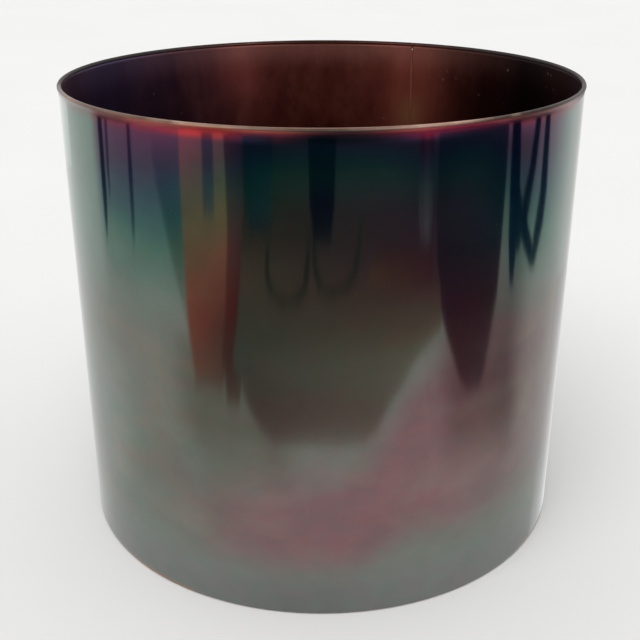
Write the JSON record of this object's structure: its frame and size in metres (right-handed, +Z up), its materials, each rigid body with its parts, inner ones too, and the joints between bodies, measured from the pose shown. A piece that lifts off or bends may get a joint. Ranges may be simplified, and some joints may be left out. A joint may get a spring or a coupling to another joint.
{
  "type": "cylindrical planter",
  "caption": "Straight-sided open metal planter with a small flared, wired lip, a heat-coloured polished outside, a recessed soldered base and rubber bumpers underneath.",
  "frame": {"origin": "on the floor, at the centre of the round footprint", "axes": "+Z up along the pot's axis, -Y is the front, and the brazed seam is at the back, 25.6 degrees from +Y towards +X"},
  "size_m": [0.3061, 0.3062, 0.274],
  "materials": {
    "copper_outer": "gloss",
    "copper_plain": "satin",
    "braze": "satin",
    "steel_wire": "satin",
    "solder": "matte",
    "pad_rubber": "matte"
  },
  "bodies": {
    "root": {"wall_sheet": "copper_outer", "seam_braze": "braze", "rim_wire": "steel_wire", "base_pan": "copper_plain", "base_solder_ring": "solder", "foot_pad_back_right": "pad_rubber", "foot_pad_back_left": "pad_rubber", "foot_pad_front_left": "pad_rubber", "foot_pad_front_right": "pad_rubber"}
  },
  "joints": []
}
